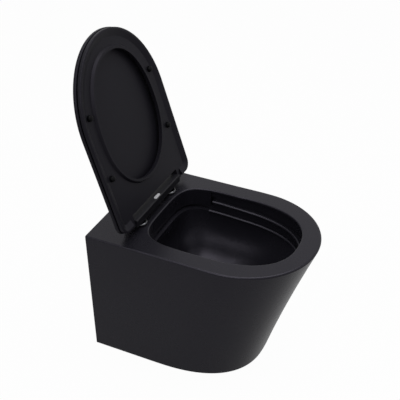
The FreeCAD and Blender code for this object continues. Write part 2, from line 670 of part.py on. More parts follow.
bar_tools = [
    box("bar_bay", ("-bay_half", f"{bar_front} + bar_wall", f"{bar_low} - 1"),
        ("bay_half", f"{bar_rear} - bar_wall", f"{bar_high} - bar_wall")),
    rod("bar_damper_bore", "damper_outer / 2 + 0.05", "2 * bar_half - 6",
        ("3 - bar_half", AXIS_Y, AXIS_Z), ALONG_X),
    rod("bar_shaft_bore", "shaft_outer / 2 + 0.06", "2 * bar_half + 2",
        ("-bar_half - 1", AXIS_Y, AXIS_Z), ALONG_X),
    stadium("button_hole", 0.3, f"{bar_high} - bar_wall - 2 * button_travel", f"{bar_high} + 1"),
]
node(drill("bar", rounded_bar("bar_solid", bar_front, bar_rear, bar_low, bar_high), bar_tools), "hinge_bar")

floor_holes = [rod(f"floor_hole_{side}", "post_outer / 2 + 0.3", "bar_wall + 2",
                   (f"{sign} * hinge_spacing / 2", "-post_back", f"{bar_low} - 1")) for side, sign in SIDES]
floor_plate = box("floor_plate", ("0.2 - bay_half", f"{bar_front} + bar_wall + 0.2", bar_low),
                  ("bay_half - 0.2", f"{bar_rear} - bar_wall - 0.2", f"{bar_low} + bar_wall"))
node(drill("bar_floor", floor_plate, floor_holes), "hinge_bar_floor")

for side, sign in SIDES:
    inner = "bay_half + 0.3" if sign > 0 else "3.2 - bar_half"
    cartridge = rod(f"damper_case_{side}", "damper_outer / 2", "bar_half - bay_half - 3.5",
                    (inner, AXIS_Y, AXIS_Z), ALONG_X)
    well = "bay_half + 3" if sign > 0 else "2 - bar_half"
    damper_bore = rod(f"damper_bore_{side}", "shaft_outer / 2 + 0.06", "bar_half - bay_half - 5",
                      (well, AXIS_Y, AXIS_Z), ALONG_X)
    node(cut(f"damper_{side}_case", cartridge, damper_bore), f"damper_{side}")

# ---------------------------------------------------------------- release button and latches

button_top = f"{bar_high} + button_proud"
button_low = f"{bar_high} - bar_wall - 0.5"
pin_z = f"{bar_high} - 10"
slider_low = f"{bar_high} - 13"

node(stadium("button_cap", 0, button_low, button_top), "release_button")

slider_y = (f"{button_y} - 1.2", f"{button_y} + 1.2")
slider_plate = box("slider_plate", ("-latch_pin_out - 6", slider_y[0], slider_low),
                   ("latch_pin_out + 6", slider_y[1], f"{button_low} - 1.5"))
slider_flange = box("slider_flange", ("-button_wide / 2 - 2", f"{button_y} - 3.4", f"{button_low} - 2"),
                    ("button_wide / 2 + 2", f"{button_y} + button_deep / 2 + 2", button_low))
slots = []
for side, sign in SIDES:
    low_x = f"{sign} * latch_pin_out"
    high_x = f"{sign} * (latch_pin_out - button_travel)"
    radius = "latch_pin / 2 + 0.1"
    for end, x, z in (("low", low_x, pin_z), ("high", high_x, f"{pin_z} + button_travel")):
        slots.append(rod(f"slider_slot_{side}_{end}", radius, "8", (x, f"{button_y} - 4", z), ALONG_Y))
    ramp = primitive("Box", f"slider_slot_{side}_ramp",
                     {"Length": f"button_travel / {DIAGONAL}", "Width": "8", "Height": "latch_pin + 0.2"},
                     (f"{low_x} + ({radius}) * {DIAGONAL}", f"{button_y} - 4",
                      f"{pin_z} + {sign} * ({radius}) * {DIAGONAL}"))
    lean = 135 if sign > 0 else 45
    slots.append(ramp)
    ramp.Placement.Rotation = FreeCAD.Rotation(V(0, 1, 0), -lean)
node(drill("slider", fuse("slider_solid", [slider_plate, slider_flange]), slots), "button_slider")

for side, sign in SIDES:
    def across(inner, outer):
        """The low and high x of a span on this side of the middle."""
        return (inner, outer) if sign > 0 else (f"-({outer})", f"-({inner})")

    latch_low = f"{bar_low} + bar_wall + 1.5"
    latch_high = latch_low + " + latch_thick"
    jaw = across("latch_pin_out - 6", "hinge_spacing / 2 - 2")
    foot = across("latch_pin_out - 6", "latch_pin_out + 6")
    lug = across("latch_pin_out - 3.5", "latch_pin_out + 3.5")
    strip = box(f"latch_strip_{side}", (jaw[0], "-post_back - latch_wide / 2", latch_low),
                (jaw[1], "-post_back + latch_wide / 2", latch_high))
    heel = box(f"latch_heel_{side}", (foot[0], f"{button_y} + 1.6", latch_low),
               (foot[1], "-post_back", latch_high))
    lug_plate = box(f"latch_lug_{side}", (lug[0], f"{button_y} + 1.6", latch_low),
                    (lug[1], f"{button_y} + 3.6", f"{pin_z} + 2"))
    pin = rod(f"latch_pin_{side}", "latch_pin / 2", "4",
              (f"{sign} * latch_pin_out", f"{button_y} - 1.4", pin_z), ALONG_Y)
    grip = rod(f"latch_grip_{side}", "post_outer / 2 + 0.06", "latch_thick + 2",
               (f"{sign} * hinge_spacing / 2", "-post_back", latch_low + " - 1"))
    latch = fuse(f"latch_solid_{side}", [strip, heel, lug_plate, pin])
    node(cut(f"latch_{side}_plate", latch, grip), f"latch_{side}")


def spring_form():
    """A round wire helix that stands on the bar's floor and carries the slider."""
    wire = size("spring_wire")
    floor = RIM + size("hinge_rise") - size("bar_down") + size("bar_wall")
    top = RIM + size("hinge_rise") + size("bar_up") - 13
    radius = (size("spring_outer") - wire) / 2
    height = top - floor - wire - 0.1
    turns = 4
    coil = Part.makeHelix(height / turns, height, radius)
    profile = Part.Wire([Part.makeCircle(wire / 2, V(radius, 0, 0), V(0, 1, 0))])
    foot = V(0, -size("hinge_back") - size("button_ahead"), floor + wire / 2 + 0.05)
    return Part.Wire(coil.Edges).makePipeShell([profile], True, True), FreeCAD.Placement(foot, UPRIGHT)


shaped("button_spring", *spring_form())

# ---------------------------------------------------------------- seat ring and lid, drawn shut

HINGE = V(0, -size("hinge_back"), RIM + size("hinge_rise"))
OPENED = FreeCAD.Placement(V(0, 0, 0), FreeCAD.Rotation(V(1, 0, 0), -size("open_angle")), HINGE)


def below(drop):
    """Height of a level of the shut seat, measured down from the hinge line."""
    return HINGE.z - drop


def plate_outline(over, z, inset=0.0):
    """The D outline of the seat, or over it by a little for the lid, drawn in by inset all round."""
    half_width = size("seat_width") / 2 + over
    return dee(half_width - inset, HINGE.y + size("rear_reach") - inset,
               HINGE.y - size("seat_reach") - over + inset, half_width * size("seat_nose") - inset, z,
               size("corner_round") - inset)


def plate_solid(over, top, bottom, rounding):
    """A D plate between two levels, with its rims rounded."""
    solid = prism(plate_outline(over, below(bottom)), bottom - top)
    return solid.makeFillet(rounding, edges_at(solid, below(top)) + edges_at(solid, below(bottom)))


def hole_outline(z, grown=0.0):
    half_width = size("seat_width") / 2 - size("ring_side")
    front = size("seat_reach") - size("ring_front")
    return oval(half_width + grown, HINGE.y - size("hole_back") + grown, HINGE.y - front - grown,
                HINGE.y - size("hole_widest"), z, 2.11, 2.18)


def across_hinge(radius, start, end):
    """A cylinder on the hinge line between two x."""
    return Part.makeCylinder(radius, end - start, V(start, HINGE.y, HINGE.z), V(1, 0, 0))


def key_hole(radius, start, end):
    """A round hole with a flat, for a keyed shaft."""
    flat = block((start, HINGE.y - radius, HINGE.z + radius - 1),
                 (end, HINGE.y + radius, HINGE.z + radius + 1))
    return across_hinge(radius, start, end).cut(flat)


SHAFT = size("shaft_outer") / 2
RUNNING = 0.06
seat_in = size("bar_half") + size("side_gap")
seat_out = seat_in + size("knuckle_wide")
lid_in = seat_out + size("side_gap")
lid_out = lid_in + size("knuckle_wide")
KNUCKLE = size("knuckle_outer") / 2


def sided(low, high, sign):
    return (low, high) if sign > 0 else (-high, -low)


def seat_form():
    top = size("seat_top")
    bottom = top + size("seat_edge")
    floor = top + size("ring_skin")
    ring = plate_solid(0, top, bottom, 2.4)
    trough = Part.makeLoft([plate_outline(0, below(bottom) - NUDGE / 2, 6),
                            plate_outline(0, below(floor), 20)], True)
    lip = Part.makeLoft([hole_outline(below(bottom) - NUDGE, 6),
                         hole_outline(below(floor) + NUDGE, 10)], True)
    ring = ring.cut(trough.cut(lip))
    ring = ring.cut(prism(hole_outline(below(bottom + OVER)), bottom - top + 2 * OVER))
    notch_half = seat_out + 0.3
    notch = block((-notch_half, HINGE.y - size("notch_reach"), below(bottom + OVER)),
                  (notch_half, 0, below(top - OVER)))
    ring = ring.cut(notch)
    arm_back = HINGE.y - size("notch_reach") - 2.5
    for side, sign in SIDES:
        low, high = sided(seat_in, seat_out, sign)
        arm_low, arm_high = sided(seat_in, seat_out + 1, sign)
        arm = block((low, arm_back, below(floor)), (high, HINGE.y + 9, below(0)))
        root = block((arm_low, arm_back, below(floor)), (arm_high, HINGE.y + 4, below(top)))
        ring = ring.fuse([across_hinge(KNUCKLE, low, high), arm, root])
    ring = ring.cut(key_hole(SHAFT + RUNNING, -seat_out - OVER, -seat_in + OVER))
    ring = ring.cut(across_hinge(SHAFT + RUNNING, seat_in - OVER, seat_out + OVER))
    bumper_x = size("seat_width") / 2 - size("bumper_inset")
    for reach_out in (size("bumper_near"), size("bumper_far")):
        for side, sign in SIDES:
            peg = V(sign * bumper_x, HINGE.y - reach_out, below(floor) - 0.2)
            peg_hole = Part.makeCylinder(2.6, 2.2, peg)
            ring = ring.cut(peg_hole)
    return ring.removeSplitter()


def pad_place():
    """Where the right lid bumper stands."""
    return (size("seat_width") / 2 + size("lid_over") - size("pad_inset"),
            HINGE.y - size("seat_reach") - size("lid_over") + size("pad_back"))


def lid_form():
    top = size("lid_top")
    bottom = top + size("lid_edge")
    floor = top + size("skin")
    over = size("lid_over")
    lid = plate_solid(over, top, bottom, 2.8)
    hollow = Part.makeLoft([plate_outline(over, below(bottom) - NUDGE / 2, 4.5),
                            plate_outline(over, below(floor), 8)], True)
    lid = lid.cut(hollow)
    notch_half = seat_out + 0.3
    lid = lid.cut(block((-notch_half, HINGE.y - size("lid_notch"), below(bottom + OVER)),
                        (notch_half, 0, below(top - OVER))))
    wall = block((-notch_half - 3, HINGE.y - size("lid_notch") - 3, below(bottom)),
                 (notch_half + 3, HINGE.y - size("lid_notch"), below(top + 1)))
    lid = lid.fuse(wall)
    for side, sign in SIDES:
        low, high = sided(lid_in, lid_out, sign)
        cheek = block((low, HINGE.y - size("lid_notch") - 3, below(bottom)),
                      (high, HINGE.y + 2, below(top + 1)))
        lid = lid.fuse([across_hinge(KNUCKLE, low, high), cheek])
    lid = lid.cut(across_hinge(size("shaft_tip") / 2 + RUNNING, -lid_out + 2, -lid_in + OVER))
    lid = lid.cut(key_hole(SHAFT + RUNNING, lid_in - OVER, lid_out - 2))
    pad_x, pad_y = pad_place()
    for side, sign in SIDES:
        peg_hole = Part.makeCylinder(2.1, 2.2, V(sign * pad_x, pad_y, below(floor) - 0.2))
        lid = lid.cut(peg_hole)
    return lid.removeSplitter()


def bumper_form(outer, peg, top, tip, x, y):
    """A rubber foot that tapers towards its tip, with a peg that holds it in its skin."""
    foot = Part.makeCone(outer / 2 - 1.2, outer / 2, tip - top, V(x, y, below(tip)))
    foot = foot.makeFillet(1.2, edges_at(foot, below(tip)))
    return foot.fuse(Part.makeCylinder(peg, 1.9, V(x, y, below(top) - 0.1))).removeSplitter()


shaped("seat_ring", seat_form(), OPENED)
seat_floor = size("seat_top") + size("ring_skin")
bumper_x = size("seat_width") / 2 - size("bumper_inset")
for row, reach in (("rear", size("bumper_near")), ("front", size("bumper_far"))):
    for side, sign in SIDES:
        form = bumper_form(size("bumper_outer"), 2.5, seat_floor, size("hinge_rise") - size("bumper_gap"),
                           sign * bumper_x, HINGE.y - reach)
        shaped(f"seat_bumper_{row}_{side}", form, OPENED)

shaped("lid", lid_form(), OPENED)
for side, sign in SIDES:
    form = bumper_form(size("pad_outer"), 2.0, size("lid_top") + size("skin"), size("seat_top") - 0.2,
                       sign * pad_place()[0], pad_place()[1])
    shaped(f"lid_bumper_{side}", form, OPENED)

# The left damper turns with the seat and the right one with the lid. Each shaft is keyed in
# its own knuckle and runs free in the other.
inner_end = size("bay_half") + 4
seat_key = key_hole(SHAFT, -seat_out - size("side_gap") / 2, -seat_in)
seat_shaft = across_hinge(SHAFT, -seat_in, -inner_end).fuse(
    [seat_key, across_hinge(size("shaft_tip") / 2, -lid_out + 2.3, -seat_out)])
shaped("seat_shaft", seat_shaft.removeSplitter(), OPENED)
lid_shaft = across_hinge(SHAFT, inner_end, seat_out + size("side_gap") / 2).fuse(
    key_hole(SHAFT, seat_out, lid_out - 2.3))
shaped("lid_shaft", lid_shaft.removeSplitter(), OPENED)

# ---------------------------------------------------------------- check and write

doc.recompute()
for thing in doc.Objects:
    if "Invalid" in thing.State or "Error" in thing.State:
        raise RuntimeError(f"{thing.Name} failed: {thing.State}")
for label, piece in nodes.items():
    if piece.Shape.isNull() or not piece.Shape.isValid() or piece.Shape.Volume <= 0:
        raise RuntimeError(f"{label} has no valid shape")
    if len(piece.Shape.Solids) != 1:
        raise RuntimeError(f"{label} is {len(piece.Shape.Solids)} solids")

os.makedirs("parts", exist_ok=True)
for label, piece in nodes.items():
    piece.Shape.exportStep(f"parts/{label}.step")
    low = piece.Shape.BoundBox
    print(f"{label:24s} {piece.Shape.Volume / 1000:9.2f} cm3  x {low.XMin:7.1f} {low.XMax:7.1f}"
          f"  y {low.YMin:7.1f} {low.YMax:7.1f}  z {low.ZMin:7.1f} {low.ZMax:7.1f}")
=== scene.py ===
# %% [markdown]
# # A wall hung toilet in matt black
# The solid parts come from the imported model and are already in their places, in metres. This
# notebook gives them their finishes, adds the moulded details that only the eye needs, and then
# sets up the floor, the lamps and the camera.

import json
import math

import bmesh
import bpy
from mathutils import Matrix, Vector


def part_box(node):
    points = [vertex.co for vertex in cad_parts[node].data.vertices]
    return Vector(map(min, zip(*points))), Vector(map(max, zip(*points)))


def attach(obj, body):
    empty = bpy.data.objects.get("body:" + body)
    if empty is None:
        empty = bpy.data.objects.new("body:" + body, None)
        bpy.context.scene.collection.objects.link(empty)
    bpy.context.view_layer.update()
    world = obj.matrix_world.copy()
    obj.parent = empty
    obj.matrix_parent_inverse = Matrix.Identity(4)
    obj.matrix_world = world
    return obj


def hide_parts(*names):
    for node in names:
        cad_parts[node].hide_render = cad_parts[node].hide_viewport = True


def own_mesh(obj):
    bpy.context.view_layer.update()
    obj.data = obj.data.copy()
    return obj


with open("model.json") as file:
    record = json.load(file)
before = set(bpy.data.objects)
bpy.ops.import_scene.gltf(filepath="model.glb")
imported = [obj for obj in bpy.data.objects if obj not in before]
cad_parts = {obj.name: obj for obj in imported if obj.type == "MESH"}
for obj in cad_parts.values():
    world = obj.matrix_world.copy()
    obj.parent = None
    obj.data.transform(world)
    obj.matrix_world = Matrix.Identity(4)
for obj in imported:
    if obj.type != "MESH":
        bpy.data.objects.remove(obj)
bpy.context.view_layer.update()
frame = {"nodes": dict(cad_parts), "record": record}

# %% [markdown]
# ## Shader maths
# A finish is easier to read when its sums are written as sums. `Field` wraps one socket of the
# node tree, and each operator adds the Math node that does the same work.

# %% Fields and finishes
class Field:
    """A number that varies over a surface."""

    def __init__(self, finish, socket):
        self.finish = finish
        self.socket = socket

    def math(self, operation, first, second):
        node = self.finish.node("ShaderNodeMath", {"operation": operation}, {0: first, 1: second})
        return Field(self.finish, node.outputs[0])

    def __add__(self, other):
        return self.math("ADD", self, other)

    def __radd__(self, other):
        return self.math("ADD", other, self)

    def __sub__(self, other):
        return self.math("SUBTRACT", self, other)

    def __mul__(self, other):
        return self.math("MULTIPLY", self, other)


class Finish:
    """A material whose constants sit on the shader's own sockets."""

    def __init__(self, name, **constants):
        self.material = bpy.data.materials.new(name)
        self.material.use_nodes = True
        self.tree = self.material.node_tree
        self.tree.nodes.clear()
        self.shader = self.node("ShaderNodeBsdfPrincipled")
        for socket, value in constants.items():
            self.shader.inputs[socket.replace("_", " ")].default_value = value
        self.node("ShaderNodeOutputMaterial", inputs={"Surface": self.shader.outputs["BSDF"]})
        self.place = self.node("ShaderNodeTexCoord").outputs["Object"]

    def node(self, kind, settings=None, inputs=None):
        """A node with its settings, then the values or links of its sockets."""
        made = self.tree.nodes.new(kind)
        for key, value in (settings or {}).items():
            setattr(made, key, value)
        for key, value in (inputs or {}).items():
            value = value.socket if isinstance(value, Field) else value
            if isinstance(value, bpy.types.NodeSocket):
                self.tree.links.new(value, made.inputs[key])
            else:
                made.inputs[key].default_value = value
        return made

    def feed(self, socket, value):
        source = value.socket if isinstance(value, Field) else value
        self.tree.links.new(source, self.shader.inputs[socket])

    def noise(self, scale, detail=2.0):
        """Cloudy noise on the piece's own coordinates, from 0 to 1, about 0.5."""
        node = self.node("ShaderNodeTexNoise", {"noise_dimensions": "3D"},
                         {"Vector": self.place, "Scale": scale, "Detail": detail})
        return Field(self, node.outputs["Fac"])

    def tint(self, dark, light, share):
        """Runs from one colour to another with a field."""
        node = self.node("ShaderNodeMix", {"data_type": "RGBA"},
                         {0: share, 6: (*dark, 1), 7: (*light, 1)})
        self.feed("Base Color", node.outputs[2])

    def bump(self, height, depth):
        """Raises the surface by a field, depth metres for a rise of one."""
        node = self.node("ShaderNodeBump",
                         inputs={"Height": height, "Distance": depth, "Strength": 1.0})
        self.feed("Normal", node.outputs["Normal"])


def speckled(name, dark, light, roughness, spread, grain, depth, **constants):
    """A finish with soft patches of colour and gloss, and a fine grain."""
    finish = Finish(name, **constants)
    patches = finish.noise(14.0, 3.0)
    fine = finish.noise(grain, 2.0)
    finish.tint(dark, light, patches * 0.7 + fine * 0.3)
    finish.feed("Roughness", roughness + (patches - 0.5) * spread)
    finish.bump(fine, depth)
    return finish.material


# %% [markdown]
# ## Finishes
# The pan is a matt black glaze: nearly as dark as the plastic of the seat, with a silky sheen that
# catches light along its edges. The gloss of both leans to violet. The seat is pressed duroplast
# with a finer grain. Chrome, zinc, nylon and rubber finish the small parts.

# %% Make the finishes
VIOLET = (0.88, 0.83, 1.0, 1.0)
finishes = {
    "pan_glaze": speckled("matt_glaze", (0.0058, 0.0056, 0.0076), (0.008, 0.0077, 0.0104),
                          roughness=0.27, spread=0.05, grain=1400.0, depth=0.00001,
                          Specular_IOR_Level=0.19, Specular_Tint=VIOLET),
    "seat_plastic": speckled("duroplast", (0.0044, 0.0042, 0.0058), (0.0058, 0.0055, 0.0076),
                             roughness=0.44, spread=0.05, grain=2200.0, depth=0.00001,
                             Specular_IOR_Level=0.11, Specular_Tint=VIOLET),
    "bar_plastic": speckled("bar_plastic", (0.005, 0.0048, 0.0064), (0.0066, 0.0063, 0.0084),
                            roughness=0.4, spread=0.05, grain=1800.0, depth=0.00001,
                            Specular_IOR_Level=0.13),
    "bright_chrome": speckled("satin_chrome", (0.46, 0.46, 0.48), (0.54, 0.54, 0.56),
                              roughness=0.3, spread=0.05, grain=300.0, depth=0.000002,
                              Metallic=0.4),
    "cap_chrome": speckled("dark_chrome", (0.06, 0.061, 0.066), (0.08, 0.081, 0.086),
                           roughness=0.16, spread=0.05, grain=300.0, depth=0.000002,
                           Metallic=1.0),
    "fixing_steel": speckled("zinc_plate", (0.5, 0.5, 0.5), (0.62, 0.61, 0.58),
                             roughness=0.34, spread=0.18, grain=900.0, depth=0.000008,
                             Metallic=1.0),
    "shaft_steel": speckled("turned_steel", (0.48, 0.48, 0.49), (0.58, 0.58, 0.6),
                            roughness=0.24, spread=0.12, grain=1500.0, depth=0.000006,
                            Metallic=1.0),
    "fixing_nylon": speckled("nylon", (0.66, 0.64, 0.57), (0.76, 0.74, 0.68),
                             roughness=0.5, spread=0.1, grain=800.0, depth=0.00001),
    "damper_plastic": speckled("acetal", (0.05, 0.05, 0.055), (0.07, 0.07, 0.075),
                               roughness=0.42, spread=0.1, grain=1200.0, depth=0.00001),
    "soft_rubber": speckled("rubber", (0.0012, 0.0012, 0.0016), (0.0022, 0.0022, 0.0028),
                            roughness=0.34, spread=0.1, grain=900.0, depth=0.00002,
                            Specular_IOR_Level=0.05),
}
for entry in frame["record"]["subparts"]:
    solid = frame["nodes"][entry["node"]]
    if not solid.material_slots:
        solid.data.materials.append(None)
    for place in solid.material_slots:
        place.material = finishes[entry["material_slot"]]
print(len(finishes), "finishes on", len(frame["nodes"]), "solids")

# %% [markdown]
# ## Noses on the waterway's edges
# A glaze never keeps a sharp corner: where the two ledges in the bowl turn down, and where the
# flush hood ends, it gathers into a small round nose, and that nose is what catches the light. A
# round bead that follows the edge does the same. The edge is a rule, so its points are worked out,
# and a Geometry Nodes tree sweeps a circle along them.

# %% The edge of a ledge
RIM_HEIGHT = 0.080
BOWL = {"half_width": 0.1325, "back": -0.119, "front": -0.476, "widest": -0.287}
HOOD_FRONT = -0.190
LEDGE_FALL = math.tan(math.radians(3.2))
LEDGE_NOSE, HOOD_NOSE = 0.0045, 0.0027      # radii of the beads
UPPER_START = -0.198                        # the upper ledge begins a little ahead of the hood
POINT_GAP = 0.004


def signed_power(value, power):
    return math.copysign(abs(value) ** power, value)


def mouth_point(turn, side, front):
    """A point of the bowl's mouth, drawn in at its sides and its front."""
    ahead = math.sin(turn) < 0
    fullness = 2.45 if ahead else 4.5
    ends = BOWL["widest"] - BOWL["front"] - front if ahead else BOWL["back"] - side - BOWL["widest"]
    return ((BOWL["half_width"] - side) * signed_power(math.cos(turn), 2 / fullness),
            BOWL["widest"] + ends * signed_power(math.sin(turn), 2 / fullness))


def ledge_path(side, front, drop, start=HOOD_FRONT, steps=900):
    """The edge of a sloping ledge, from the hood on one side, round the front, to the other."""
    points = []
    for step in range(steps + 1):
        turn = math.pi * (0.5 - 2 * step / steps)
        x, y = mouth_point(turn, side, front)
        if y < start:
            points.append((x, y, RIM_HEIGHT - drop + (y - HOOD_FRONT) * LEDGE_FALL))
    return points


def even(points, gap):
    """The same path with its points a steady gap apart."""
    kept = [Vector(points[0])]
    for point in map(Vector, points[1:]):
        while (point - kept[-1]).length >= gap:
            kept.append(kept[-1] + (point - kept[-1]).normalized() * gap)
    return kept


upper_edge = even(ledge_path(side=0.0035, front=0.0015, drop=0.0320, start=UPPER_START), POINT_GAP)
lower_edge = even(ledge_path(side=0.0082, front=0.0034, drop=0.0590), POINT_GAP)
print(len(upper_edge), "and", len(lower_edge), "points on the two ledges")

# %% A tree that sweeps a round bead along paths
def bead_tree(material):
    """Curves from the mesh's edges, with a circle of the named radius swept along them."""
    tree = bpy.data.node_groups.new("round_bead", "GeometryNodeTree")
    tree.interface.new_socket("Path", in_out="INPUT", socket_type="NodeSocketGeometry")
    radius = tree.interface.new_socket("Radius", in_out="INPUT", socket_type="NodeSocketFloat")
    tree.interface.new_socket("Bead", in_out="OUTPUT", socket_type="NodeSocketGeometry")
    entry = tree.nodes.new("NodeGroupInput")
    exit_ = tree.nodes.new("NodeGroupOutput")
    curve = tree.nodes.new("GeometryNodeMeshToCurve")
    ring = tree.nodes.new("GeometryNodeCurvePrimitiveCircle")
    ring.inputs["Resolution"].default_value = 14
    sweep = tree.nodes.new("GeometryNodeCurveToMesh")
    sweep.inputs["Fill Caps"].default_value = True
    smooth = tree.nodes.new("GeometryNodeSetShadeSmooth")
    real = tree.nodes.new("GeometryNodeRealizeInstances")
    paint = tree.nodes.new("GeometryNodeSetMaterial")
    paint.inputs["Material"].default_value = material
    tree.links.new(entry.outputs["Path"], curve.inputs["Mesh"])
    tree.links.new(curve.outputs["Curve"], sweep.inputs["Curve"])
    tree.links.new(entry.outputs["Radius"], ring.inputs["Radius"])
    tree.links.new(ring.outputs["Curve"], sweep.inputs["Profile Curve"])
    for before, after in ((sweep, smooth), (smooth, real), (real, paint)):
        tree.links.new(before.outputs[0], after.inputs["Geometry"])
    tree.links.new(paint.outputs["Geometry"], exit_.inputs["Bead"])
    return tree, radius.identifier


def settle(name, source, tree, values, body):
    """The result of a tree on a source mesh, as a plain mesh that rides on a body."""
    maker = bpy.data.objects.new(name + "_maker", source)
    bpy.context.scene.collection.objects.link(maker)
    modifier = maker.modifiers.new("nodes", "NODES")
    modifier.node_group = tree
    for identifier, value in values.items():
        modifier[identifier] = value
    bpy.context.view_layer.update()
    ready = maker.evaluated_get(bpy.context.evaluated_depsgraph_get())
    mesh = bpy.data.meshes.new_from_object(ready)
    bpy.data.objects.remove(maker)
    piece = bpy.data.objects.new(name, mesh)
    bpy.context.scene.collection.objects.link(piece)
    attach(piece, body)
    return piece


def paths_mesh(name, paths):
    """A mesh of edges alone, one run of them for each path."""
    points, edges = [], []
    for path in paths:
        first = len(points)
        points += [tuple(point) for point in path]
        edges += [(first + step, first + step + 1) for step in range(len(path) - 1)]
    mesh = bpy.data.meshes.new(name)
    mesh.from_pydata(points, edges, [])
    return mesh


bead, bead_radius = bead_tree(finishes["pan_glaze"])
noses = settle("ledge_noses", paths_mesh("ledge_edges", [upper_edge, lower_edge]), bead,
               {bead_radius: LEDGE_NOSE}, "pan")
print(len(noses.data.polygons), "faces on the ledge noses")

# %% Noses on the ends of the flush hood
HOOD_DROPS = (0.004, 0.016, 0.030, 0.0455)  # below the rim, from the top of the nose to its foot
OUTWARD, AHEAD = 0.0025, 0.001              # the nose's middle, from the hood's corner
hood_ends = []
hood_edge = min((mouth_point(math.pi * step / 2000, 0, 0) for step in range(1000)),
                key=lambda point: abs(point[1] - HOOD_FRONT))
for sign in (-1, 1):
    column = sign * (hood_edge[0] + OUTWARD)
    hood_ends.append([(column, HOOD_FRONT + AHEAD, RIM_HEIGHT - drop) for drop in HOOD_DROPS])
ends = settle("hood_noses", paths_mesh("hood_edges", hood_ends), bead,
              {bead_radius: HOOD_NOSE}, "pan")
print(len(ends.data.polygons), "faces on the hood noses")

# %% [markdown]
# ## Hinge caps
# Each hinge plate hides under a shallow chrome cap. Its broad round shoulder gathers the whole
# room into a thin bright crescent, while its flat top mirrors the dark seat, so the shoulder is
# what has to be right. A profile spun about the cap's axis makes it.

# %% Spin the caps
def turned(name, profile, centre, body, slot, steps=72):
    """A round piece: a profile of (reach, height) pairs spun about an upright axis."""
    shell = bmesh.new()
    ring = [shell.verts.new((reach, 0, height)) for reach, height in profile]
    for low, high in zip(ring, ring[1:]):
        shell.edges.new((low, high))
    bmesh.ops.spin(shell, geom=shell.verts[:] + shell.edges[:], cent=(0, 0, 0), axis=(0, 0, 1),
                   angle=2 * math.pi, steps=steps, use_merge=True)
    bmesh.ops.remove_doubles(shell, verts=shell.verts, dist=0.00001)
    bmesh.ops.recalc_face_normals(shell, faces=shell.faces)
    bmesh.ops.translate(shell, verts=shell.verts, vec=centre)
    for face in shell.faces:
        face.smooth = True
    mesh = bpy.data.meshes.new(name)
    shell.to_mesh(mesh)
    shell.free()
    mesh.materials.append(finishes[slot])
    piece = bpy.data.objects.new(name, mesh)
    bpy.context.scene.collection.objects.link(piece)
    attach(piece, body)
    return piece


SHOULDER_REACH = 0.0042
SHOULDER_DROP = 0.8 * SHOULDER_REACH
SHOULDER_STEPS = 14
FOOT_CHAMFER = 0.0006
for side in ("left", "right"):
    low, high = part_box("hinge_cap_" + side)
    radius, tall = (high[0] - low[0]) / 2, high[2] - low[2]
    profile = [(0, tall)]
    for step in range(SHOULDER_STEPS + 1):
        lean = math.pi / 2 * step / SHOULDER_STEPS
        profile.append((radius - SHOULDER_REACH + SHOULDER_REACH * math.sin(lean),
                        tall - SHOULDER_DROP + SHOULDER_DROP * math.cos(lean)))
    profile += [(radius, FOOT_CHAMFER), (radius - FOOT_CHAMFER, 0), (0, 0)]
    centre = Vector(((low[0] + high[0]) / 2, (low[1] + high[1]) / 2, low[2]))
    cap = turned("hinge_cap_shell_" + side, profile, centre, "hinge_mounts", "cap_chrome")
    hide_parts("hinge_cap_" + side)
    print(cap.name, len(cap.data.polygons), "faces")

# %% [markdown]
# ## Rubber feet
# Four feet under the seat ring and two under the lid are the same moulding in two sizes: a cone
# with a rounded tip. One Geometry Nodes tree makes the foot from its named sizes, sets one on
# every point it is given and leans them all with the open seat.

# %% A tree that sets rubber feet on points
FOOT_SIDES = 40
TIP_RISE = 0.28     # height of the rounded tip as a share of its radius


